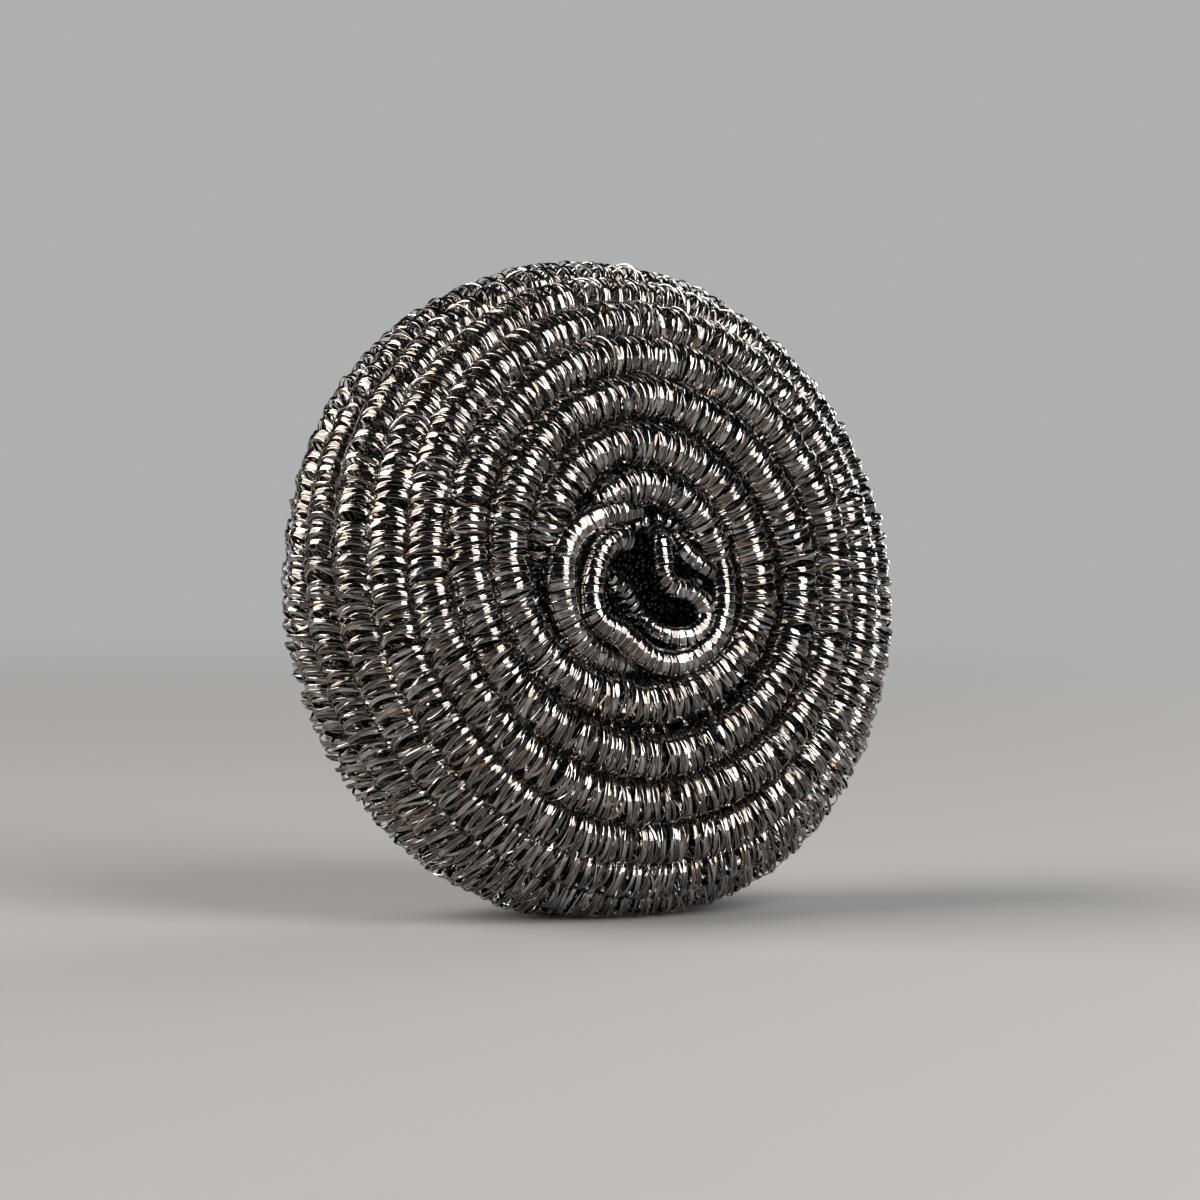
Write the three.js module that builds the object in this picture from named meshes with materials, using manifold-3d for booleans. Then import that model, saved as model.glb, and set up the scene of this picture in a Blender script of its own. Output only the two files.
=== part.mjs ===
import * as THREE from "three";
import { mergeVertices } from "three/addons/utils/BufferGeometryUtils.js";
import Module from "manifold-3d";

const wasm = await Module();
wasm.setup();

// A pot scrubber: one flat steel ribbon is coiled into a soft rope, and the rope is wound round and
// round into a thick round pad. Its turns lie against each other, so they are one solid.
// Millimetres, +Z up. The pad stands on its rim and leans back a little, its middle facing -Y.

// The pad
const padRadius = 40;
const padHalfThickness = 19.35;
const rimFullness = 4.28; // 2 is round, and more is squarer towards the rim
const faceFullness = 1.8; // the same towards the faces
const lean = THREE.MathUtils.degToRad(10); // from upright, backwards
const flatSag = 1.8; // how much of the rim is pressed flat by its own weight
const pressedReach = 1.5; // the turns' grooves are pressed shut up to this height

// The rope's turns
const ropePitch = 5.8; // along the outline, from one turn to the next
const grooveDepth = 1.7;
const firstGroove = 0.94; // along the outline, where the winding starts
const windingCentre = new THREE.Vector2(-4.2, 1.4); // the turns on the front aren't centred

// The middle, where the rope's inner end is tucked in
const wellCentre = new THREE.Vector2(-3.5, -1);
const wellRadius = 15;
const wellFloorRadius = 10.5;
const wellDepth = 3;
const backWellDepth = 1.6;
const tailRadius = 1.55; // the end is wound tighter than the rest

// How finely the surface is divided
const outlineDivisions = 600;
const sidesPerTurn = 40;
const stepsPerTurn = 5;
const tailSides = 8;
const tailStep = 2.2;

// The tucked-in runs of the tail, seen from the front: across, up, and down from the front face.
const tailRuns = {
  collar: [
    [-9.4, 8.4, 3.4],
    [-5.5, 10.6, 1.7],
    [-1.4, 10.9, 1.6],
    [4.4, 8.1, 1.6],
    [6.8, 2.3, 1.6],
    [6.4, -3.8, 1.6],
    [3.5, -10.4, 1.6],
    [-0.8, -11.8, 1.5],
    [-5.0, -10.8, 1.4],
    [-8.1, -8.0, 1.3],
    [-11.1, -5.1, 1.2],
    [-11.3, -1.2, 1.2],
    [-9.6, 2.1, 1.3],
    [-7.3, 3.1, 1.6],
    [-5.4, 2.7, 2.2],
  ],
  outerLoop: [
    [-2.3, 6.3, 4.2],
    [-4.9, 6.6, 2.7],
    [-9.7, 5.6, 2.0],
    [-13.1, 3.0, 2.0],
    [-14.4, -1.2, 2.0],
    [-13.4, -5.1, 2.4],
    [-10.6, -8.0, 3.4],
  ],
  hook: [
    [0.7, 4.5, 4.2],
    [-0.9, 2.6, 2.4],
    [-1.1, 0.2, 2.0],
    [-0.5, -1.6, 2.0],
    [2.3, -2.4, 2.0],
    [4.0, -5.0, 2.0],
    [2.4, -7.7, 2.0],
    [-0.8, -8.4, 2.3],
    [-1.8, -7.3, 4.2],
  ],
  shortLoop: [
    [2.2, 3.0, 4.2],
    [2.9, 1.4, 2.6],
    [4.7, 0.1, 2.2],
    [6.8, -2.2, 3.0],
  ],
};

// Half the pad's outline, from the middle of its front round the rim to the middle of its back:
// x is the distance from the pad's axis, and y is the height along it.
class PadOutline extends THREE.Curve {
  getPoint(t, target = new THREE.Vector2()) {
    const front = t < 0.5;
    const share = front ? 2 * t : 2 - 2 * t;
    const turn = (Math.PI / 2) * share ** (rimFullness / 2);
    const radius = padRadius * Math.sin(turn) ** (2 / rimFullness);
    const height = padHalfThickness * Math.abs(Math.cos(turn)) ** (2 / faceFullness);
    return target.set(radius, front ? height : -height);
  }
}

const outline = new PadOutline();
outline.arcLengthDivisions = outlineDivisions;
const outlineLength = outline.getLength();

// How high a place on the unturned pad comes to lie once the pad leans.
function uprightHeight(y, z) {
  return y * Math.cos(lean) + z * Math.sin(lean);
}

// The ground's height, which the lowest part of the leaning rim is pressed flat against.
function heightOfGround() {
  const rimHeights = outline
    .getPoints(outlineDivisions)
    .map((point) => uprightHeight(-point.x, point.y));
  return Math.min(...rimHeights) + flatSag;
}

const ground = heightOfGround();
const padAxis = new THREE.Vector2(0, 0);

// How deep in the well of its face a place lies: 1 on the well's floor, and 0 outside the well.
function wellShare(place, centre) {
  const fromCentre = place.distanceTo(centre);
  return 1 - THREE.MathUtils.smoothstep(fromCentre, wellFloorRadius, wellRadius);
}

// The height of a turn above the smooth surface: an arc between two grooves, 0 at its crest.
function turnProfile(across) {
  const arcRadius = (ropePitch ** 2 / 4 + grooveDepth ** 2) / (2 * grooveDepth);
  return Math.sqrt(arcRadius ** 2 - (across * ropePitch) ** 2) - arcRadius;
}

// A point of the pad, from how far it is along the outline, how far round, and where across its turn.
function surfacePoint(along, angle, across) {
  const share = along / outlineLength;
  const point = outline.getPointAt(share);
  const tangent = outline.getTangentAt(share);
  const outwards = new THREE.Vector2(Math.cos(angle), Math.sin(angle));
  const isFront = point.y > 0;
  const centre = isFront ? windingCentre : padAxis;
  const shift = 1 - (point.x / padRadius) ** 2;
  const place = outwards.clone().multiplyScalar(point.x).addScaledVector(centre, shift);
  const sunk = wellShare(place, isFront ? wellCentre : padAxis);
  const aboveGround = uprightHeight(place.y, point.y) - ground;
  const pressed = 1 - THREE.MathUtils.smoothstep(aboveGround, 0, pressedReach);
  const smoothed = isFront ? Math.max(pressed, sunk) : pressed;
  const rise = turnProfile(across) * (1 - smoothed);
  place.addScaledVector(outwards, -tangent.y * rise);
  const down = sunk * (isFront ? wellDepth : -backWellDepth);
  return new THREE.Vector3(place.x, place.y, point.y + tangent.x * rise - down);
}

// The wound body is one closed helical sheet of four-sided patches, stepsPerTurn of them across each
// turn. Its last column of a turn is the first column of the next, and it closes in a point at the
// middle of each face.
function woundBodyGeometry() {
  const points = [];
  const places = new Map();
  const unit = ropePitch / (sidesPerTurn * stepsPerTurn);

  function vertexAt(column, step) {
    const count = column * stepsPerTurn + step * sidesPerTurn;
    const along = THREE.MathUtils.clamp(firstGroove + count * unit, 0, outlineLength);
    const atEnd = along === 0 || along === outlineLength;
    const side = THREE.MathUtils.euclideanModulo(column, sidesPerTurn);
    const key = atEnd ? `end ${along}` : `${count} ${side}`;
    if (!places.has(key)) {
      const angle = (-2 * Math.PI * side) / sidesPerTurn;
      const across = atEnd ? 0 : step / stepsPerTurn - 0.5;
      places.set(key, points.length);
      points.push(surfacePoint(along, angle, across));
    }
    return places.get(key);
  }

  const faces = [];
  function addFace(a, b, c) {
    if (a !== b && b !== c && c !== a) faces.push(a, b, c);
  }
  const firstColumn = -2 * sidesPerTurn;
  const lastColumn = Math.ceil((outlineLength / ropePitch + 1) * sidesPerTurn);
  for (let column = firstColumn; column < lastColumn; column++) {
    for (let step = 0; step < stepsPerTurn; step++) {
      const a = vertexAt(column, step);
      const b = vertexAt(column + 1, step);
      const c = vertexAt(column + 1, step + 1);
      const d = vertexAt(column, step + 1);
      addFace(a, b, c);
      addFace(a, c, d);
    }
  }
  const geometry = new THREE.BufferGeometry().setFromPoints(points);
  geometry.setIndex(faces);
  return geometry;
}

// The height of the smooth front face, with no well in it, at a distance from the pad's axis.
function frontFaceHeight(radius) {
  const share = 1 - (radius / padRadius) ** rimFullness;
  return padHalfThickness * share ** (1 / faceFullness);
}

function tailGeometry(run) {
  const points = run.map(
    ([x, y, down]) => new THREE.Vector3(x, y, frontFaceHeight(Math.hypot(x, y)) - down),
  );
  const path = new THREE.CatmullRomCurve3(points, false, "centripetal");
  const section = new THREE.Shape().absarc(0, 0, tailRadius, 0, 2 * Math.PI);
  return new THREE.ExtrudeGeometry(section, {
    extrudePath: path,
    steps: Math.round(path.getLength() / tailStep),
    curveSegments: tailSides / 2,
  });
}

// The rounded tip of the collar's free end.
function tailTipGeometry(run) {
  const [x, y, down] = run.at(-1);
  const tip = new THREE.SphereGeometry(tailRadius, tailSides, tailSides / 2);
  return tip.translate(x, y, frontFaceHeight(Math.hypot(x, y)) - down);
}

function solidOf(geometry) {
  const bare = geometry.clone();
  bare.deleteAttribute("normal");
  bare.deleteAttribute("uv");
  const merged = mergeVertices(bare, 1e-4);
  return new wasm.Manifold(
    new wasm.Mesh({
      numProp: 3,
      vertProperties: merged.attributes.position.array,
      triVerts: new Uint32Array(merged.index.array),
    }),
  );
}

function geometryOf(solid) {
  const mesh = solid.getMesh();
  const geometry = new THREE.BufferGeometry();
  geometry.setAttribute("position", new THREE.BufferAttribute(mesh.vertProperties, 3));
  geometry.setIndex(new THREE.BufferAttribute(mesh.triVerts, 1));
  return geometry;
}

// Turns what is built with its front facing +Z until it faces -Y and leans back.
function stand(geometry) {
  return geometry.rotateX(Math.PI / 2 - lean);
}

// A block that fills everything below the ground.
function groundGeometry() {
  const side = 4 * padRadius;
  return new THREE.BoxGeometry(side, side, side).translate(0, 0, ground - side / 2);
}

function woundCoilGeometry() {
  let solid = solidOf(stand(woundBodyGeometry()));
  for (const run of Object.values(tailRuns)) {
    solid = solid.add(solidOf(stand(tailGeometry(run))));
  }
  solid = solid.add(solidOf(stand(tailTipGeometry(tailRuns.collar))));
  solid = solid.subtract(solidOf(groundGeometry()));
  const geometry = geometryOf(solid).toNonIndexed();
  geometry.computeBoundingBox();
  const { min, max } = geometry.boundingBox;
  geometry.translate(-(min.x + max.x) / 2, -(min.y + max.y) / 2, -min.z);
  geometry.computeVertexNormals();
  return geometry;
}

const brightSteel = new THREE.MeshStandardMaterial({
  color: 0x8f8c88,
  roughness: 0.2,
  metalness: 1,
});

const woundCoil = new THREE.Mesh(woundCoilGeometry(), brightSteel);
woundCoil.name = "wound_coil";

const potScrubber = new THREE.Group();
potScrubber.add(woundCoil);

export default potScrubber;
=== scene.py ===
# A pot scrubber: one flat steel ribbon, coiled into a soft rope and wound into a thick round pad.
import math

import bpy
import numpy as np
from mathutils import Matrix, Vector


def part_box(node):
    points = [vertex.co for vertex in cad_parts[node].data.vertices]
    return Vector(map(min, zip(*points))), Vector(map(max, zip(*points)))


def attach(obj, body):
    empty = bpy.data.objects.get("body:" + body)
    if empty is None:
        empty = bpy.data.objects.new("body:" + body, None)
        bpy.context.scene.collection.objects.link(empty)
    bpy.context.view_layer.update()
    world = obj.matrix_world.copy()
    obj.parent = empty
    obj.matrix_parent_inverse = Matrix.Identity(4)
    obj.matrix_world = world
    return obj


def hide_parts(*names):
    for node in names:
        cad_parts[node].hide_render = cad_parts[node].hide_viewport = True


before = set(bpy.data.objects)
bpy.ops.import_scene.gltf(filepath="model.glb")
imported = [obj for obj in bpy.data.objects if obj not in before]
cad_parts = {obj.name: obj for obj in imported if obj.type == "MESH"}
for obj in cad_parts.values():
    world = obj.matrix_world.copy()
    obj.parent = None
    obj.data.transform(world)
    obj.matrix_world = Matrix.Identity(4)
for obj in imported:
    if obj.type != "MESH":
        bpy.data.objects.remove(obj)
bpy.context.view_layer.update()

nodeName = "wound_coil"
lowCorner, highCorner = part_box(nodeName)

# Lengths are metres, and angles are degrees where a name says so.
pad = {
    "radius": (highCorner[0] - lowCorner[0]) / 2,
    "halfThickness": 0.01935,
    "rimFullness": 4.28,  # 2 is round, and more is squarer towards the rim
    "faceFullness": 1.8,  # the same towards the faces
    "leanDegrees": 10,
    "flatSag": 0.0018,  # how much of the rim its own weight presses flat
    "windingCentre": (-0.0042, 0.0014),  # the turns on the front aren't centred
    "backWellDepth": 0.0016,
    "backWellRadius": 0.014,
    "outlinePoints": 8001,
}

rope = {
    "radius": 0.00278,
    "pitch": 0.0058,
    "firstCrest": 0.01535,  # along the outline, to the crest at the right of the front
    "startsAt": 0.0122,
    "endsShortOf": 0.0030,
    "tuckLength": 0.0010,  # along the outline, where the ends go in
    "tuckDepth": 0.0050,
    "pointsPerTurn": 96,
    "sideWobble": 0.00035,
    "heightWobble": 0.0002,
    "wobbleLength": 0.011,  # how far the rope runs from one bend of its wobble to the next
    "seed": 11,
}

lean = math.radians(pad["leanDegrees"])


class Field:
    # one socket of a node tree, which can be used in sums
    def __init__(self, tree, socket=None):
        self.tree = tree
        self.socket = socket

    def node(self, kind, settings=None, sockets=None, output=0):
        made = self.tree.nodes.new(kind)
        for name, value in (settings or {}).items():
            setattr(made, name, value)
        for name, value in (sockets or {}).items():
            if isinstance(value, Field):
                self.tree.links.new(value.socket, made.inputs[name])
            else:
                made.inputs[name].default_value = value
        return Field(self.tree, made.outputs[output] if made.outputs else None)

    def other(self, output):
        return Field(self.tree, self.socket.node.outputs[output])

    def sums(self, operation, *values):
        return self.node("ShaderNodeMath", {"operation": operation}, dict(enumerate(values)))

    def __add__(self, value):
        return self.sums("ADD", self, value)

    def __radd__(self, value):
        return self.sums("ADD", value, self)

    def __sub__(self, value):
        return self.sums("SUBTRACT", self, value)

    def __rsub__(self, value):
        return self.sums("SUBTRACT", value, self)

    def __mul__(self, value):
        return self.sums("MULTIPLY", self, value)

    def __rmul__(self, value):
        return self.sums("MULTIPLY", value, self)

    def __truediv__(self, value):
        return self.sums("DIVIDE", self, value)

    def sine(self):
        return self.sums("SINE", self)

    def cosine(self):
        return self.sums("COSINE", self)

    def vector(self, operation, *values):
        settings = {"operation": operation}
        return self.node("ShaderNodeVectorMath", settings, dict(enumerate((self, *values))))

    def scaled(self, amount):
        settings = {"operation": "SCALE"}
        return self.node("ShaderNodeVectorMath", settings, {0: self, "Scale": amount})

    def plus(self, *vectors):
        total = self
        for each in vectors:
            total = total.vector("ADD", each)
        return total

    def unit(self):
        return self.vector("NORMALIZE")

    # 0 up to low, most from high on, and a share of it in between
    def above(self, low, high, most=1.0, interpolation="LINEAR"):
        settings = {"interpolation_type": interpolation}
        return self.node("ShaderNodeMapRange", settings, {0: self, 1: low, 2: high, 3: 0.0, 4: most})


# Turns a place on the unturned pad, whose front faces up, to where it is on the standing pad.
def standUp(points):
    x, y, z = np.asarray(points, dtype=float).T
    return np.column_stack((
        x,
        y * math.sin(lean) - z * math.cos(lean),
        y * math.cos(lean) + z * math.sin(lean),
    ))


# Half the pad's outline as a table: how far along it, then radius, height and outward direction.
def outlineTable():
    share = np.linspace(0, 2, pad["outlinePoints"])
    fold = np.where(share < 1, share, 2 - share)
    turn = math.pi / 2 * fold ** (pad["rimFullness"] / 2)
    radius = pad["radius"] * np.sin(turn) ** (2 / pad["rimFullness"])
    height = pad["halfThickness"] * np.abs(np.cos(turn)) ** (2 / pad["faceFullness"])
    height = np.where(share < 1, height, -height)
    along = np.concatenate(([0], np.cumsum(np.hypot(np.diff(radius), np.diff(height)))))
    slopeRadius = np.gradient(radius, along)
    slopeHeight = np.gradient(height, along)
    size = np.hypot(slopeRadius, slopeHeight)
    return along, radius, height, -slopeHeight / size, slopeRadius / size


outline = outlineTable()
outlineLength = outline[0][-1]
rimReach = np.max(outline[1] * math.cos(lean) + outline[2] * math.sin(lean))
padCentre = np.array((0, 0, rimReach - pad["flatSag"]))


def smoothStep(value, low, high):
    share = np.clip((value - low) / (high - low), 0, 1)
    return share * share * (3 - 2 * share)


# Random values that change smoothly along a length.
def wander(length, spacing, seed):
    rng = np.random.default_rng(seed)
    place = length / spacing
    knots = rng.uniform(-1, 1, int(place.max()) + 3)
    first = place.astype(int)
    share = (1 - np.cos(math.pi * (place - first))) / 2
    return knots[first] * (1 - share) + knots[first + 1] * share


# The rope's middle line: a spiral over the pad, one turn beside the other. Deeper turns lie in the
# hollows between the outer ones.
def ropePath(startsAt, aside=0.0, deeper=0.0):
    firstCrest = rope["firstCrest"] + aside
    turns = np.arange(
        (startsAt - firstCrest) / rope["pitch"],
        (outlineLength - rope["endsShortOf"] - firstCrest) / rope["pitch"],
        1 / rope["pointsPerTurn"],
    )
    along = firstCrest + rope["pitch"] * turns
    step = np.interp(along, outline[0], outline[1]) * 2 * math.pi / rope["pointsPerTurn"]
    travelled = np.cumsum(step)
    along = along + rope["sideWobble"] * wander(travelled, rope["wobbleLength"], rope["seed"])
    radius, height, outR, outZ = (np.interp(along, outline[0], column) for column in outline[1:])
    angle = -2 * math.pi * turns
    across = np.column_stack((np.cos(angle), np.sin(angle)))
    isFront = (height > 0)[:, None]
    shift = 1 - (radius / pad["radius"]) ** 2
    place = across * radius[:, None]
    place = place + np.where(isFront, np.outer(shift, pad["windingCentre"]), 0)
    out = np.column_stack((across * outR[:, None], outZ))
    fromBack = outlineLength - along
    well = 1 - smoothStep(fromBack, pad["backWellRadius"] / 2, pad["backWellRadius"])
    tuck = 1 - smoothStep(along, along[0], along[0] + rope["tuckLength"])
    tuck = tuck + 1 - smoothStep(fromBack, fromBack[-1], fromBack[-1] + rope["tuckLength"])
    down = deeper + rope["radius"] + rope["tuckDepth"] * tuck + pad["backWellDepth"] * well
    down = down + rope["heightWobble"] * (1 + wander(travelled, rope["wobbleLength"], rope["seed"] + 1))
    points = np.column_stack((place, height)) - out * down[:, None]
    return standUp(points) + padCentre, standUp(out), along


# A chain of edges that carries what its coil needs at each point.
def pathMesh(name, points, carried):
    mesh = bpy.data.meshes.new(name)
    count = len(points)
    mesh.from_pydata(points.tolist(), [(n, n + 1) for n in range(count - 1)], [])
    for key, values in carried.items():
        isVector = np.ndim(values) == 2
        layer = mesh.attributes.new(key, "FLOAT_VECTOR" if isVector else "FLOAT", "POINT")
        values = np.ascontiguousarray(np.broadcast_to(values, (count, 3) if isVector else count))
        layer.data.foreach_set("vector" if isVector else "value", values.astype(np.float32).ravel())
    return mesh


def lengthAlong(points):
    steps = np.linalg.norm(np.diff(points, axis=0), axis=1)
    return np.concatenate(([0], np.cumsum(steps)))


# How the loops differ: how much of the noise passes in one loop, its place and its channel.
looseness = {
    "tilt": (0.83, 3.0, 0),
    "slowTilt": (0.11, 9.0, 1),
    "slowTiltShare": 0.6,
    "size": (0.71, 21.0, 1),
    "shift": (0.77, 40.0, 2),
    "twist": (0.9, 77.0, 0),
    "spread": 3.0,  # noise keeps near its middle, and this brings it to about -1 to 1
}


# A flat ribbon coiled round a path, as a tree that any of the coils can use.
def coilTree():
    tree = bpy.data.node_groups.new("coiledRibbon", "GeometryNodeTree")
    for name, kind in (
        ("Path", "NodeSocketGeometry"),
        ("Loop spacing", "NodeSocketFloat"),
        ("Ribbon width", "NodeSocketFloat"),
        ("Ribbon thickness", "NodeSocketFloat"),
        ("Points per loop", "NodeSocketFloat"),
        ("Hand", "NodeSocketFloat"),
        ("Cone", "NodeSocketFloat"),
        ("Twist noise", "NodeSocketFloat"),
        ("Tilt noise", "NodeSocketFloat"),
        ("Size noise", "NodeSocketFloat"),
        ("Shift noise", "NodeSocketFloat"),
        ("Crest crowding", "NodeSocketFloat"),
        ("Seed", "NodeSocketFloat"),
        ("Ground", "NodeSocketFloat"),
        ("Material", "NodeSocketMaterial"),
    ):
        tree.interface.new_socket(name, in_out="INPUT", socket_type=kind)
    tree.interface.new_socket("Coil", in_out="OUTPUT", socket_type="NodeSocketGeometry")

    grow = Field(tree)
    given = grow.node("NodeGroupInput")
    spacing = given.other("Loop spacing")

    def named(name, kind="FLOAT"):
        return grow.node("GeometryNodeInputNamedAttribute", {"data_type": kind}, {"Name": name})

    def kept(geometry, name, value, kind="FLOAT"):
        settings = {"data_type": kind, "domain": "POINT"}
        sockets = {"Geometry": geometry, "Name": name, "Value": value}
        return grow.node("GeometryNodeStoreNamedAttribute", settings, sockets)

    path = grow.node("GeometryNodeMeshToCurve", {}, {"Mesh": given.other("Path")})
    path = grow.node("GeometryNodeCurveSplineType", {"spline_type": "CATMULL_ROM"}, {"Curve": path})
    pathLength = grow.node("GeometryNodeCurveLength", {}, {"Curve": path})
    count = pathLength / spacing * given.other("Points per loop")
    path = grow.node("GeometryNodeResampleCurve", {"mode": "COUNT"}, {"Curve": path, "Count": count})

    loops = named("travelled") / spacing
    angle = loops * (2 * math.pi)
    angle = angle - given.other("Crest crowding") * angle.sine()
    ahead = grow.node("GeometryNodeInputTangent")
    outward = named("outward", "FLOAT_VECTOR")
    sideways = ahead.vector("CROSS_PRODUCT", outward).unit()
    outward = sideways.vector("CROSS_PRODUCT", ahead).unit()

    def noise(perLoop, offset, channel):
        place = loops * perLoop + (given.other("Seed") + offset)
        sockets = {"W": place, "Scale": 1.0, "Detail": 0.0}
        made = grow.node("ShaderNodeTexNoise", {"noise_dimensions": "1D"}, sockets, "Color")
        value = grow.node("ShaderNodeSeparateXYZ", {}, {0: made}, channel)
        return (value - 0.5) * looseness["spread"] * named("loose")

    tilting = noise(*looseness["tilt"]) + looseness["slowTiltShare"] * noise(*looseness["slowTilt"])
    tilt = named("coilTilt") + given.other("Tilt noise") * tilting
    size = 1.0 + given.other("Size noise") * noise(*looseness["size"])
    shift = given.other("Shift noise") * noise(*looseness["shift"])
    radius = named("coilRadius") * size
    acrossPart = radius * (angle.sine() * given.other("Hand"))
    outPart = radius * angle.cosine()
    aheadPart = tilt * outPart + shift
    radial = outward.scaled(angle.cosine()).plus(sideways.scaled(angle.sine() * given.other("Hand")))
    twisting = given.other("Twist noise") * noise(*looseness["twist"])
    cone = given.other("Cone") + named("coilCone") + twisting
    facing = radial.scaled(cone.cosine()).plus(ahead.scaled(cone.sine()))
    move = outward.scaled(outPart).plus(sideways.scaled(acrossPart), ahead.scaled(aheadPart))
    path = kept(path, "facing", facing, "FLOAT_VECTOR")
    path = kept(path, "move", move, "FLOAT_VECTOR")
    place = grow.node("GeometryNodeInputPosition").plus(named("move", "FLOAT_VECTOR"))
    parts = grow.node("ShaderNodeSeparateXYZ", {}, {0: place})
    height = grow.sums("MAXIMUM", parts.other(2), given.other("Ground"))
    place = grow.node("ShaderNodeCombineXYZ", {}, {0: parts.other(0), 1: parts.other(1), 2: height})
    path = grow.node("GeometryNodeSetPosition", {}, {"Geometry": path, "Position": place})
    path = grow.node("GeometryNodeSetCurveNormal", {"mode": "FREE"},
                     {"Curve": path, "Normal": named("facing", "FLOAT_VECTOR")})
    ribbonLength = grow.node("GeometryNodeSplineParameter", output="Length")
    path = kept(path, "alongRibbon", ribbonLength)
    section = grow.node("GeometryNodeCurvePrimitiveQuadrilateral", {"mode": "RECTANGLE"},
                        {"Width": given.other("Ribbon thickness"), "Height": given.other("Ribbon width")})
    cornerPlace = grow.node("ShaderNodeSeparateXYZ", {}, {0: grow.node("GeometryNodeInputPosition")}, 1)
    section = kept(section, "acrossRibbon", cornerPlace / given.other("Ribbon width") + 0.5)
    ribbon = grow.node("GeometryNodeCurveToMesh", {},
                       {"Curve": path, "Profile Curve": section, "Fill Caps": True})
    for spare in ("facing", "move", "outward", "coilRadius", "coilTilt", "coilCone", "loose"):
        ribbon = grow.node("GeometryNodeRemoveAttribute", {}, {"Geometry": ribbon, "Name": spare})
    ribbon = grow.node("GeometryNodeSetShadeSmooth", {}, {"Geometry": ribbon, "Shade Smooth": True})
    ribbon = grow.node("GeometryNodeRealizeInstances", {}, {"Geometry": ribbon})
    ribbon = grow.node("GeometryNodeSetMaterial", {},
                       {"Geometry": ribbon, "Material": given.other("Material")})
    grow.node("NodeGroupOutput", {}, {"Coil": ribbon})
    return tree


ribbonTree = coilTree()
sharpFromDegrees = 40  # where two faces of a ribbon meet more steeply, their edge stays sharp


# The coil's plain mesh, with its modifier worked out and gone.
def coilPiece(name, path, values, material):
    source = bpy.data.objects.new(name + "Path", path)
    bpy.context.collection.objects.link(source)
    modifier = source.modifiers.new("coil", "NODES")
    modifier.node_group = ribbonTree
    sockets = {item.name: item.identifier for item in ribbonTree.interface.items_tree
               if item.in_out == "INPUT"}
    for key, value in values.items():
        modifier[sockets[key]] = value
    modifier[sockets["Material"]] = material
    depsgraph = bpy.context.evaluated_depsgraph_get()
    mesh = bpy.data.meshes.new_from_object(source.evaluated_get(depsgraph))
    bpy.data.objects.remove(source)
    mesh.name = name
    mesh.set_sharp_from_angle(angle=math.radians(sharpFromDegrees))
    piece = bpy.data.objects.new(name, mesh)
    bpy.context.collection.objects.link(piece)
    return piece


# Steel

def newMaterial(name):
    material = bpy.data.materials.new(name)
    material.use_nodes = True
    material.node_tree.nodes.clear()
    return material, Field(material.node_tree)


def mixColours(grow, share, first, second):
    settings = {"data_type": "RGBA", "blend_type": "MIX"}
    return grow.node("ShaderNodeMix", settings, {0: share, 6: first, 7: second}, 2)


steel = {
    "bright": (0.42, 0.396, 0.382, 1),
    # painted shade: the next colour darkens stretches of ribbon as if they reflected dark surroundings
    "dull": (0.105, 0.092, 0.085, 1),
    # a straw tint, partly a real heat tint and partly a painted warm reflection
    "strawAndWarmReflection": (0.26, 0.16, 0.09, 1),
    # painted highlight: the next colour brightens the ribbon's edges as if they caught the light
    "paintedEdgeHighlight": (0.62, 0.60, 0.58, 1),
    "roughness": 0.075,
    "edgeRoughness": 0.13,
    "streakRoughness": 0.06,
    "paintedShadeRoughness": 0.05,
    "edgeCurl": 0.000016,  # the ribbon's edges are rolled over a little, in metres
    "streakHeight": 0.08,  # a share of the curl, as the dents' height is
    "edgeFrom": (0.7, 0.9),  # the square of the way from the ribbon's middle to its edge
    # each kind of mark: how often it changes across the ribbon, and in a metre along it
    "streaks": (14.0, 120.0),
    "paintedShadeStretches": (0.6, 330.0),
    "strawAndWarmReflectionPatches": (0.9, 190.0),
    "dents": (1.6, 1400.0),
    # noise values between which a mark comes in
    "dullFrom": (0.4, 0.52),
    "strawAndWarmReflectionFrom": (0.62, 0.72),
    "mostStrawAndWarmReflection": 0.8,
}


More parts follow.
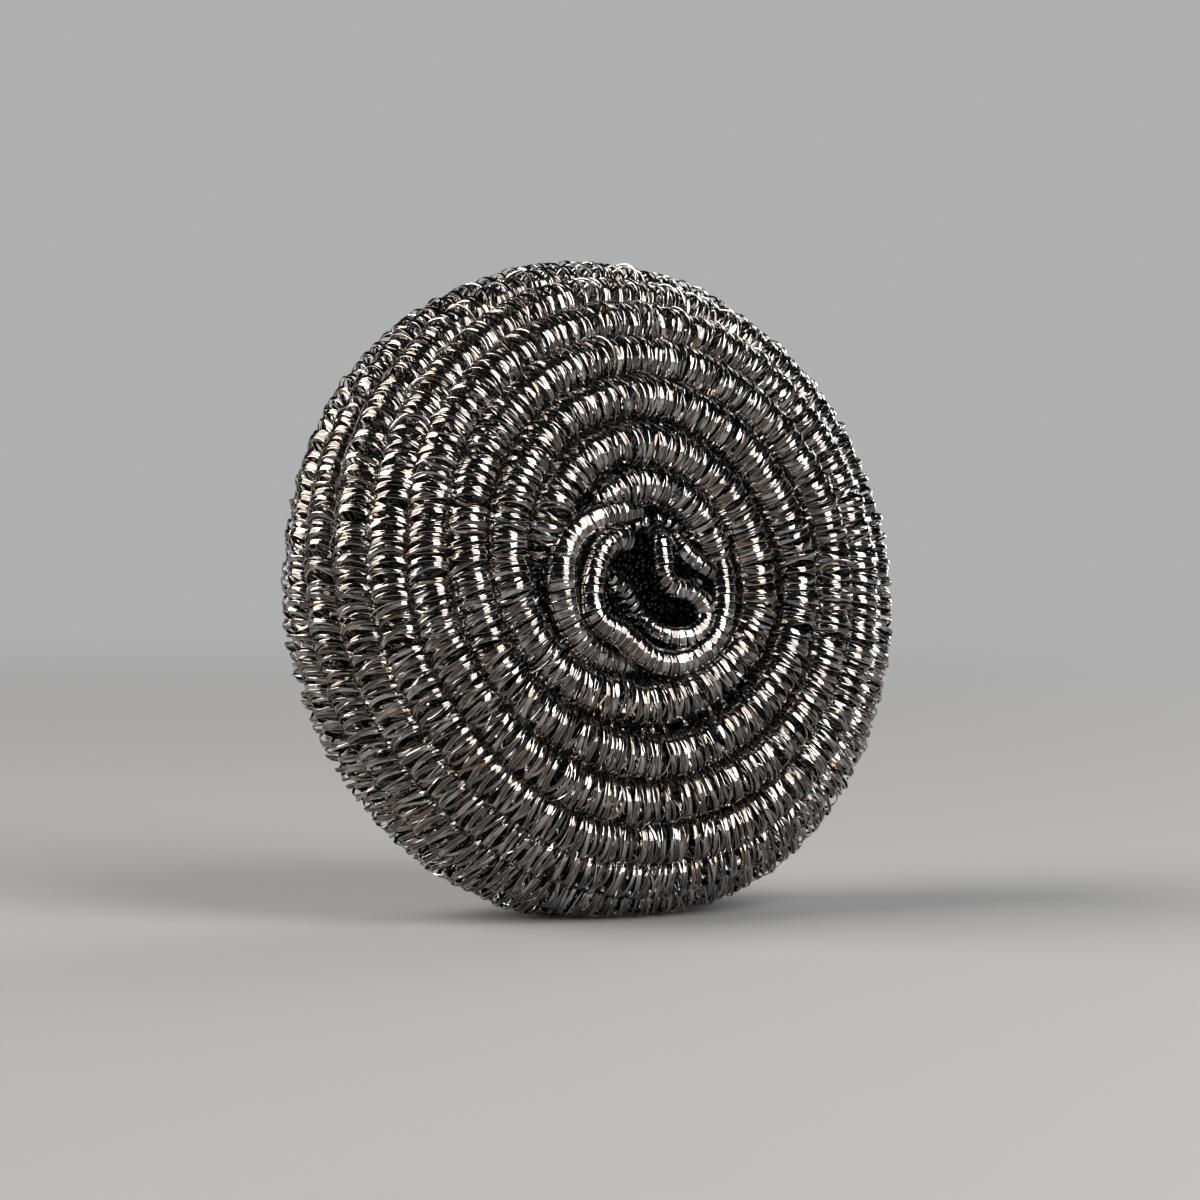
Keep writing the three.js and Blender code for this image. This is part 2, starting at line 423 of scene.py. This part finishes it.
# Drawn ribbon: its sheared edges curl over and a painted highlight keeps them bright, fine streaks run
# along it, and its working has left small dents.
# Stretches of it are darkened with painted shade, and its straw tint here and there is partly a real heat
# tint and partly a painted warm reflection.
def ribbonSteel(name, strawAndWarmReflectionShare, dentHeight=0.9):
    material, grow = newMaterial(name)

    def attribute(name):
        return grow.node("ShaderNodeAttribute", {"attribute_name": name}, {}, "Fac")

    along = attribute("alongRibbon")
    across = attribute("acrossRibbon")

    def marks(kind, detail=2.0):
        acrossScale, alongScale = steel[kind]
        place = grow.node("ShaderNodeCombineXYZ", {}, {0: across * acrossScale, 1: along * alongScale})
        return grow.node("ShaderNodeTexNoise", {}, {"Vector": place, "Scale": 1.0, "Detail": detail}, 0)

    streaks = marks("streaks")
    # stretches of painted shade, where the ribbon is darkened as if it reflected dark surroundings
    dull = marks("paintedShadeStretches").above(*steel["dullFrom"])
    # straw patches: partly a real heat tint, partly a painted warm reflection
    strawAndWarmReflectionLow, strawAndWarmReflectionHigh = steel["strawAndWarmReflectionFrom"]
    strawAndWarmReflection = marks("strawAndWarmReflectionPatches").above(strawAndWarmReflectionLow - strawAndWarmReflectionShare, strawAndWarmReflectionHigh - strawAndWarmReflectionShare, steel["mostStrawAndWarmReflection"])
    colour = mixColours(grow, dull, steel["bright"], steel["dull"])
    colour = mixColours(grow, strawAndWarmReflection, colour, steel["strawAndWarmReflection"])
    fromMiddle = 2.0 * across - 1.0
    fromMiddle = fromMiddle * fromMiddle
    crown = 1.0 - fromMiddle * fromMiddle
    highlightedEdge = fromMiddle.above(*steel["edgeFrom"])
    # a painted highlight brightens the ribbon's edges
    colour = mixColours(grow, highlightedEdge, colour, steel["paintedEdgeHighlight"])
    roughness = steel["roughness"] + steel["streakRoughness"] * (streaks - 0.5)
    roughness = roughness + steel["paintedShadeRoughness"] * dull
    roughness = roughness + (steel["edgeRoughness"] - steel["roughness"]) * highlightedEdge
    height = crown + dentHeight * marks("dents", 1.0) + steel["streakHeight"] * streaks
    bump = grow.node("ShaderNodeBump", {}, {
        "Strength": 1.0, "Distance": steel["edgeCurl"], "Height": height})
    shader = grow.node("ShaderNodeBsdfPrincipled", {}, {
        "Base Color": colour, "Metallic": 1.0, "Roughness": roughness, "Normal": bump})
    grow.node("ShaderNodeOutputMaterial", {}, {"Surface": shader})
    return material


brightRibbon = ribbonSteel("brightRibbonSteel", strawAndWarmReflectionShare=0.0)
warmRibbon = ribbonSteel("warmRibbonSteel", strawAndWarmReflectionShare=0.1)
tightRibbon = ribbonSteel("tightRibbonSteel", strawAndWarmReflectionShare=0.0, dentHeight=3.5)


# The rope's outer turns

outerStrand = {
    "Loop spacing": 0.0012,
    "Ribbon width": 0.0005,
    "Ribbon thickness": 0.00008,
    "Points per loop": 16.0,
    "Hand": 1.0,  # 1 or -1, for the way round that it coils
    "Cone": 0.0,  # how far the ribbon's face is turned along the rope, in radians
    "Twist noise": 0.22,
    "Tilt noise": 0.2,
    "Size noise": 0.07,
    "Shift noise": 0.00025,
    "Crest crowding": 0.3,  # how much a loop lingers on the rope's outer side
    "Seed": 5.0,
    "Ground": 0.0004,  # the ribbon's middle line keeps above this height
}
innerStrand = dict(outerStrand, **{
    "Ribbon width": 0.00034, "Points per loop": 14.0, "Hand": -1.0, "Twist noise": 0.5,
    "Tilt noise": 0.3, "Seed": 31.0})
strayStrand = dict(outerStrand, **{
    "Loop spacing": 0.0014, "Ribbon width": 0.0003, "Points per loop": 14.0, "Twist noise": 0.9,
    "Tilt noise": 0.35, "Size noise": 0.1, "Seed": 83.0})
deepStrand = dict(outerStrand, **{
    "Loop spacing": 0.0018, "Ribbon width": 0.0004, "Points per loop": 12.0, "Tilt noise": 0.4,
    "Twist noise": 0.7, "Seed": 57.0})

strands = {
    # values, share of the rope's radius, how far its loops lean along the rope, number of pieces, steel
    "outer": (outerStrand, 1.0, 0.18, 3, brightRibbon),
    "inner": (innerStrand, 0.94, -0.2, 2, warmRibbon),
    "stray": (strayStrand, 0.99, 0.05, 2, brightRibbon),
    "deep": (deepStrand, 0.72, 0.0, 1, brightRibbon),
}

# What changes towards the rim, as shares of what the loops have on the faces.
rimLoops = {
    "reach": 0.022,  # metres along the outline, from the middle of the rim
    "wider": 0.02,
    "furtherApart": 0.45,
    "looser": 0.2,
    "lean": 0.55,  # added at the left of the rim, in lengths along the rope for each one outwards
    "leanElsewhere": 0.25,  # the share of that lean at the rim's top, bottom and right
}

deepTurns = {"startsAt": 0.0095, "deeper": 0.0022}

pieces = []


def ropeStretches(label, points, out, along):
    values, size, tiltBase, parts, material = strands[label]
    rim = np.exp(-((along - outlineLength / 2) / rimLoops["reach"]) ** 2)
    travelled = lengthAlong(points)
    travelled = np.cumsum(np.gradient(travelled) / (1 + rimLoops["furtherApart"] * rim))
    towardsLeft = np.clip(-out[:, 0], 0, 1)
    leaning = rimLoops["leanElsewhere"] + (1 - rimLoops["leanElsewhere"]) * towardsLeft
    tilt = tiltBase + rimLoops["lean"] * rim * leaning
    radius = rope["radius"] * size * (1 + rimLoops["wider"] * rim)
    loose = 1 + rimLoops["looser"] * rim
    cuts = np.linspace(0, len(points) - 1, parts + 1).astype(int)
    for number in range(parts):
        part = slice(cuts[number], cuts[number + 1] + 1)
        name = f"{label}Loops{number + 1}"
        mesh = pathMesh(name + "Line", points[part], {
            "outward": out[part], "travelled": travelled[part], "coilRadius": radius[part],
            "coilTilt": tilt[part], "coilCone": 0, "loose": loose[part]})
        pieces.append(coilPiece(name, mesh, values, material))


outerLine = ropePath(rope["startsAt"])
for label in ("outer", "inner", "stray"):
    ropeStretches(label, *outerLine)
print("outer turns made")
ropeStretches("deep", *ropePath(deepTurns["startsAt"], rope["pitch"] / 2, deepTurns["deeper"]))
print("deeper turns made")


# The tucked-in end

# Seen from the front: across, up, down from the front face, and the coil's radius, in millimetres.
tailRuns = {
    "firstTurn": (
        (-8.0, 8.7, 3.6, 2.1), (-5.8, 9.8, 2.8, 2.3), (-3.0, 10.2, 2.5, 2.35), (-0.8, 9.9, 2.4, 2.35),
        (1.5, 9.0, 2.4, 2.35), (3.3, 7.5, 2.4, 2.35), (4.7, 5.8, 2.4, 2.3), (5.7, 4.0, 2.5, 2.2),
        (6.3, 2.2, 2.7, 2.0), (7.0, 0.5, 3.4, 1.8),
    ),
    "collar": (
        (7.0, 1.8, 3.0, 1.5), (6.7, -0.9, 2.1, 1.55), (6.5, -2.9, 1.9, 1.55), (6.1, -4.9, 1.8, 1.55),
        (5.3, -6.8, 1.7, 1.55), (3.7, -8.8, 1.6, 1.55), (1.3, -10.2, 1.6, 1.6), (-1.7, -10.8, 1.5, 1.6),
        (-4.5, -10.2, 1.5, 1.6), (-6.6, -8.7, 1.4, 1.6), (-8.5, -7.2, 1.3, 1.55), (-10.4, -6.2, 1.25, 1.55),
        (-11.5, -4.9, 1.2, 1.5), (-11.7, -2.9, 1.2, 1.5), (-11.3, -0.7, 1.2, 1.5), (-10.4, 1.4, 1.25, 1.55),
        (-9.0, 3.0, 1.35, 1.6), (-7.1, 3.7, 1.5, 1.65), (-5.5, 3.2, 1.8, 1.65),
    ),
    "outerLoop": (
        (-3.3, 7.5, 3.6, 1.6), (-5.5, 7.1, 2.9, 1.7), (-7.4, 6.8, 2.6, 1.8), (-9.9, 6.1, 2.4, 1.9),
        (-12.3, 4.9, 2.4, 2.0), (-14.0, 2.8, 2.4, 2.1), (-14.9, 0.2, 2.4, 2.15), (-15.0, -2.7, 2.4, 2.15),
        (-14.4, -5.3, 2.5, 2.1), (-13.1, -7.7, 2.7, 2.0), (-11.0, -9.5, 3.0, 1.8), (-8.3, -10.4, 3.3, 1.7),
        (-5.7, -10.8, 3.8, 1.5),
    ),
    "hook": (
        (-0.5, 5.0, 4.0, 1.35), (-1.0, 3.2, 2.6, 1.4), (-1.3, 1.2, 2.1, 1.4), (-1.2, -0.8, 2.0, 1.35),
        (0.1, -2.0, 2.0, 1.35), (1.9, -2.5, 2.0, 1.35), (3.3, -3.7, 2.0, 1.4), (3.9, -5.3, 2.0, 1.4),
        (3.0, -6.9, 2.0, 1.45), (1.1, -7.7, 2.1, 1.45), (-1.0, -7.7, 2.3, 1.4), (-2.8, -6.9, 2.8, 1.2),
        (-4.0, -5.6, 3.6, 1.1),
    ),
    "shortLoop": (
        (1.7, 3.7, 3.6, 1.2), (2.0, 2.5, 2.8, 1.25), (3.2, 1.3, 2.4, 1.25), (4.7, 0.1, 2.3, 1.25),
        (6.5, -0.8, 2.7, 1.2),
    ),
    "backLoop": (
        (-4.6, 5.2, 5.0, 1.3), (-2.4, 5.9, 4.6, 1.4), (0.2, 6.2, 4.5, 1.4), (2.6, 5.2, 4.4, 1.4),
        (4.4, 3.2, 4.4, 1.4), (5.2, 0.6, 4.6, 1.3), (5.0, -2.0, 5.0, 1.2),
    ),
    "underLoop": (
        (-7.7, -0.4, 3.6, 1.3), (-6.1, -1.7, 3.9, 1.4), (-5.0, -3.3, 4.2, 1.4), (-3.5, -5.3, 4.6, 1.4),
        (-1.3, -6.2, 5.0, 1.3),
    ),
}

tailStrand = dict(outerStrand, **{
    "Loop spacing": 0.00094,
    "Ribbon width": 0.00079,
    "Ribbon thickness": 0.0001,
    "Points per loop": 24.0,
    "Cone": math.radians(4),
    "Twist noise": 0.15,
    "Tilt noise": 0.05,
    "Size noise": 0.04,
    "Shift noise": 0.00005,
    "Crest crowding": 0.0,
})
softTail = dict(tailStrand, **{
    "Loop spacing": 0.00105, "Ribbon width": 0.0005, "Twist noise": 0.2, "Tilt noise": 0.2,
    "Size noise": 0.06, "Shift noise": 0.0002, "Crest crowding": 0.3})
softTailCross = dict(softTail, **{"Hand": -1.0, "Loop spacing": 0.0013, "Seed": 44.0})


# The collar's free end closes in a dome.
tailTip = {
    "length": 0.0014,
    "closing": 0.92,  # 1 would close it to a point
    "turnedIn": 1.2,  # how far the ribbon turns to face along the tail, in radians
}
linePoints = 12  # for each of a run's own points


# A smooth line through the run's points, and each of its values carried along it.
def smoothRun(run):
    knots = np.array(run, dtype=float) / 1000
    steps = np.sqrt(np.linalg.norm(np.diff(knots[:, :3], axis=0), axis=1))
    places = np.concatenate(([0], np.cumsum(steps)))
    fine = np.linspace(0, places[-1], linePoints * len(run))
    slopes = np.gradient(knots, places, axis=0)
    index = np.clip(np.searchsorted(places, fine, side="right") - 1, 0, len(places) - 2)
    span = (places[index + 1] - places[index])[:, None]
    share = (fine - places[index])[:, None] / span
    cube, square = share ** 3, share ** 2
    return ((2 * cube - 3 * square + 1) * knots[index] + (cube - 2 * square + share) * span * slopes[index]
            + (3 * square - 2 * cube) * knots[index + 1] + (cube - square) * span * slopes[index + 1])


def tailPiece(name, run, values, size=1.0, tilt=0.0, domed=False):
    line = smoothRun(run)
    fromAxis = np.hypot(line[:, 0], line[:, 1]) / pad["radius"]
    face = pad["halfThickness"] * (1 - fromAxis ** pad["rimFullness"]) ** (1 / pad["faceFullness"])
    points = standUp(np.column_stack((line[:, 0], line[:, 1], face - line[:, 2]))) + padCentre
    out = np.tile(standUp([(0, 0, 1)]), (len(points), 1))
    length = lengthAlong(points)
    dome = smoothStep(length, length[-1] - tailTip["length"], length[-1]) * domed
    mesh = pathMesh(name + "Line", points, {
        "outward": out, "travelled": length, "coilTilt": tilt, "loose": 1,
        "coilCone": tailTip["turnedIn"] * dome ** 2,
        "coilRadius": line[:, 3] * size * np.sqrt(1 - tailTip["closing"] * dome ** 2)})
    pieces.append(coilPiece(name, mesh, values, tightRibbon))


tailPiece("collar", tailRuns["collar"], tailStrand, domed=True)
for name in ("outerLoop", "hook", "shortLoop"):
    tailPiece(name, tailRuns[name], tailStrand)
tailPiece("firstTurn", tailRuns["firstTurn"], softTail, 1.0, 0.15)
tailPiece("firstTurnCross", tailRuns["firstTurn"], softTailCross, 0.9, -0.25)
tailPiece("underLoop", tailRuns["underLoop"], softTail, 1.0, 0.3)
tailPiece("backLoop", tailRuns["backLoop"], softTailCross, 1.0, 0.3)
print("tucked-in end made")


# What lies deeper, drawn together: a body of packed turns that closes the view. Its near-black colour is
# painted shade, and its lighter specks are painted glints.

packedTurns = {
    "depth": 0.0062,
    "wellDepth": 0.0035,
    "wellRadius": 0.011,
    "wellFloorRadius": 0.0066,
    "around": 96,
    "along": 120,
    # painted glints: a lighter colour for specks on the deeper turns
    "glintSpeck": (0.15, 0.13, 0.115, 1),
    # painted shade: the near-black colour between the specks
    "between": (0.012, 0.011, 0.011, 1),
    "specksPerMetre": 1500.0,
    "speckEdge": (0.1, 0.7),  # from a speck's middle, in shares of the distance between specks
    "speckDepth": 0.0006,
    "roughness": 0.25,
}


def packedBody():
    rows = np.linspace(0, outlineLength, packedTurns["along"] + 1)
    radius, height, outR, outZ = (np.interp(rows, outline[0], column) for column in outline[1:])
    radius = np.maximum(radius - outR * packedTurns["depth"], 0)
    radius[0] = radius[-1] = 0
    height = height - outZ * packedTurns["depth"]
    angles = 2 * math.pi * np.arange(packedTurns["around"]) / packedTurns["around"]
    points = [(0, 0, height[0] - packedTurns["wellDepth"])]
    for r, z in zip(radius[1:-1], height[1:-1]):
        well = 1 - smoothStep(r, packedTurns["wellFloorRadius"], packedTurns["wellRadius"])
        sunk = z - (packedTurns["wellDepth"] * well if z > 0 else 0)
        points += [(r * math.cos(a), r * math.sin(a), sunk) for a in angles]
    points.append((0, 0, height[-1]))
    last = len(points) - 1
    around = packedTurns["around"]
    faces = []
    for a in range(around):
        b = (a + 1) % around
        faces.append((0, 1 + a, 1 + b))
        faces.append((last, last - around + b, last - around + a))
        for row in range(packedTurns["along"] - 2):
            low, high = 1 + row * around, 1 + (row + 1) * around
            faces.append((low + a, high + a, high + b, low + b))
    mesh = bpy.data.meshes.new("packedTurns")
    mesh.from_pydata((standUp(points) + padCentre).tolist(), [], faces)
    mesh.shade_smooth()
    piece = bpy.data.objects.new("packedTurns", mesh)
    bpy.context.collection.objects.link(piece)
    return piece


def shadedPackedSteel():
    material, grow = newMaterial("shadedPackedSteel")
    place = grow.node("ShaderNodeTexCoord", {}, {}, "Object")
    sockets = {"Vector": place, "Scale": packedTurns["specksPerMetre"]}
    specks = grow.node("ShaderNodeTexVoronoi", {"feature": "F1"}, sockets, 0)
    between = specks.above(*packedTurns["speckEdge"])
    # near-black painted shade, with lighter specks as painted glints
    colour = mixColours(grow, between, packedTurns["glintSpeck"], packedTurns["between"])
    sockets = {"Strength": 1.0, "Distance": packedTurns["speckDepth"], "Height": specks}
    bump = grow.node("ShaderNodeBump", {}, sockets)
    shader = grow.node("ShaderNodeBsdfPrincipled", {}, {
        "Base Color": colour, "Metallic": 1.0, "Roughness": packedTurns["roughness"], "Normal": bump})
    grow.node("ShaderNodeOutputMaterial", {}, {"Surface": shader})
    return material


body = packedBody()
body.data.materials.append(shadedPackedSteel())
pieces.append(body)
print("packed turns made")

for piece in pieces:
    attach(piece, "root")
    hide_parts(nodeName)
    print(piece.name, len(piece.data.loops) - 2 * len(piece.data.polygons), "triangles")


# Studio

studio = {
    "floorColour": (0.29, 0.29, 0.29, 1),
    "floorRoughness": 0.7,
    "floorSpecular": 0.08,
    "floorReach": 6.0,  # from its middle to its sides
    "pale": (0.43, 0.43, 0.435, 1),
    "overhead": (0.02, 0.02, 0.021, 1),
    "paleUpTo": (0.095, 0.2),  # heights of a direction, between which the backdrop darkens
    "openFloor": (0.22, 0.8),  # metres from the pad, where the lit floor gives way to the backdrop
    "lamps": (
        # azimuth and elevation in degrees, distance, width, height, watts, colour
        (16, 31, 0.80, 0.42, 0.85, 9.0, (1, 0.995, 0.985)),
        (-112, 33, 1.20, 1.10, 1.30, 30.0, (1, 0.95, 0.89)),
        (118, 26, 0.80, 0.30, 0.75, 3.2, (0.97, 0.98, 1)),
    ),
}

camera = {
    "azimuthDegrees": -31.3,
    "elevationDegrees": 2.0,
    "distance": 0.55,
    "pixelsPerMetre": 8422.0,  # in a 1200 pixel picture, at the pad's middle
    "padPixel": (595.7, 592.5),
    "pictureSize": 1200,
}


# A direction from the pad: azimuth 0 is straight in front of it, and 90 is to its right.
def towards(azimuth, elevation):
    azimuth, elevation = math.radians(azimuth), math.radians(elevation)
    flat = math.cos(elevation)
    return np.array((math.sin(azimuth) * flat, -math.cos(azimuth) * flat, math.sin(elevation)))


# Puts a camera or lamp at a place and turns it to the target.
def lookFrom(thing, place, target):
    back = place - target
    back = back / np.linalg.norm(back)
    right = np.cross((0, 0, 1), back)
    right = right / np.linalg.norm(right)
    up = np.cross(back, right)
    rotation = np.eye(4)
    rotation[:3, 0], rotation[:3, 1], rotation[:3, 2], rotation[:3, 3] = right, up, back, place
    thing.matrix_world = Matrix(rotation.tolist())
    return right, up


def addCamera():
    lens = bpy.data.cameras.new("camera")
    lens.sensor_width = 36.0
    lens.lens = camera["pixelsPerMetre"] * camera["distance"] * lens.sensor_width / camera["pictureSize"]
    lens.clip_start = 0.01
    eye = bpy.data.objects.new("camera", lens)
    bpy.context.collection.objects.link(eye)
    direction = towards(camera["azimuthDegrees"], camera["elevationDegrees"])
    right, up = lookFrom(eye, padCentre + direction * camera["distance"], padCentre)
    half = camera["pictureSize"] / 2
    aside = (half - camera["padPixel"][0]) / camera["pixelsPerMetre"]
    rise = (camera["padPixel"][1] - half) / camera["pixelsPerMetre"]
    target = padCentre + right * aside + up * rise
    lookFrom(eye, target + direction * camera["distance"], target)
    bpy.context.scene.camera = eye


def addLamps():
    for number, (azimuth, elevation, distance, width, height, watts, colour) in enumerate(studio["lamps"]):
        light = bpy.data.lights.new(f"softbox{number + 1}", "AREA")
        light.shape = "RECTANGLE"
        light.size = width
        light.size_y = height
        light.energy = watts
        light.color = colour
        lamp = bpy.data.objects.new(light.name, light)
        bpy.context.collection.objects.link(lamp)
        lookFrom(lamp, padCentre + towards(azimuth, elevation) * distance, padCentre)


def addFloor():
    mesh = bpy.data.meshes.new("floor")
    reach = studio["floorReach"]
    corners = [(-reach, -reach, 0), (reach, -reach, 0), (reach, reach, 0), (-reach, reach, 0)]
    mesh.from_pydata(corners, [], [(0, 1, 2, 3)])
    floor = bpy.data.objects.new("floor", mesh)
    bpy.context.collection.objects.link(floor)
    material, grow = newMaterial("paleFloor")
    place = grow.node("ShaderNodeTexCoord", {}, {}, "Object")
    near, far = studio["openFloor"]
    share = place.vector("LENGTH").other("Value").above(near, far, interpolation="SMOOTHSTEP")
    lit = grow.node("ShaderNodeBsdfPrincipled", {}, {
        "Base Color": studio["floorColour"], "Roughness": studio["floorRoughness"],
        "Specular IOR Level": studio["floorSpecular"]})
    unlit = grow.node("ShaderNodeEmission", {}, {"Color": studio["pale"], "Strength": 1.0})
    shader = grow.node("ShaderNodeMixShader", {}, {0: share, 1: lit, 2: unlit})
    grow.node("ShaderNodeOutputMaterial", {}, {"Surface": shader})
    mesh.materials.append(material)


def addWorld():
    world = bpy.data.worlds.new("studio")
    bpy.context.scene.world = world
    world.use_nodes = True
    world.node_tree.nodes.clear()
    grow = Field(world.node_tree)
    direction = grow.node("ShaderNodeTexCoord", {}, {}, "Generated")
    height = grow.node("ShaderNodeSeparateXYZ", {}, {0: direction}, 2)
    low, high = studio["paleUpTo"]
    share = height.above(low, high, interpolation="SMOOTHSTEP")
    around = mixColours(grow, share, studio["pale"], studio["overhead"])
    background = grow.node("ShaderNodeBackground", {}, {"Color": around, "Strength": 1.0})
    grow.node("ShaderNodeOutputWorld", {}, {"Surface": background})


addCamera()
addLamps()
addFloor()
addWorld()
bpy.context.scene.view_settings.view_transform = "Standard"
print("studio ready")
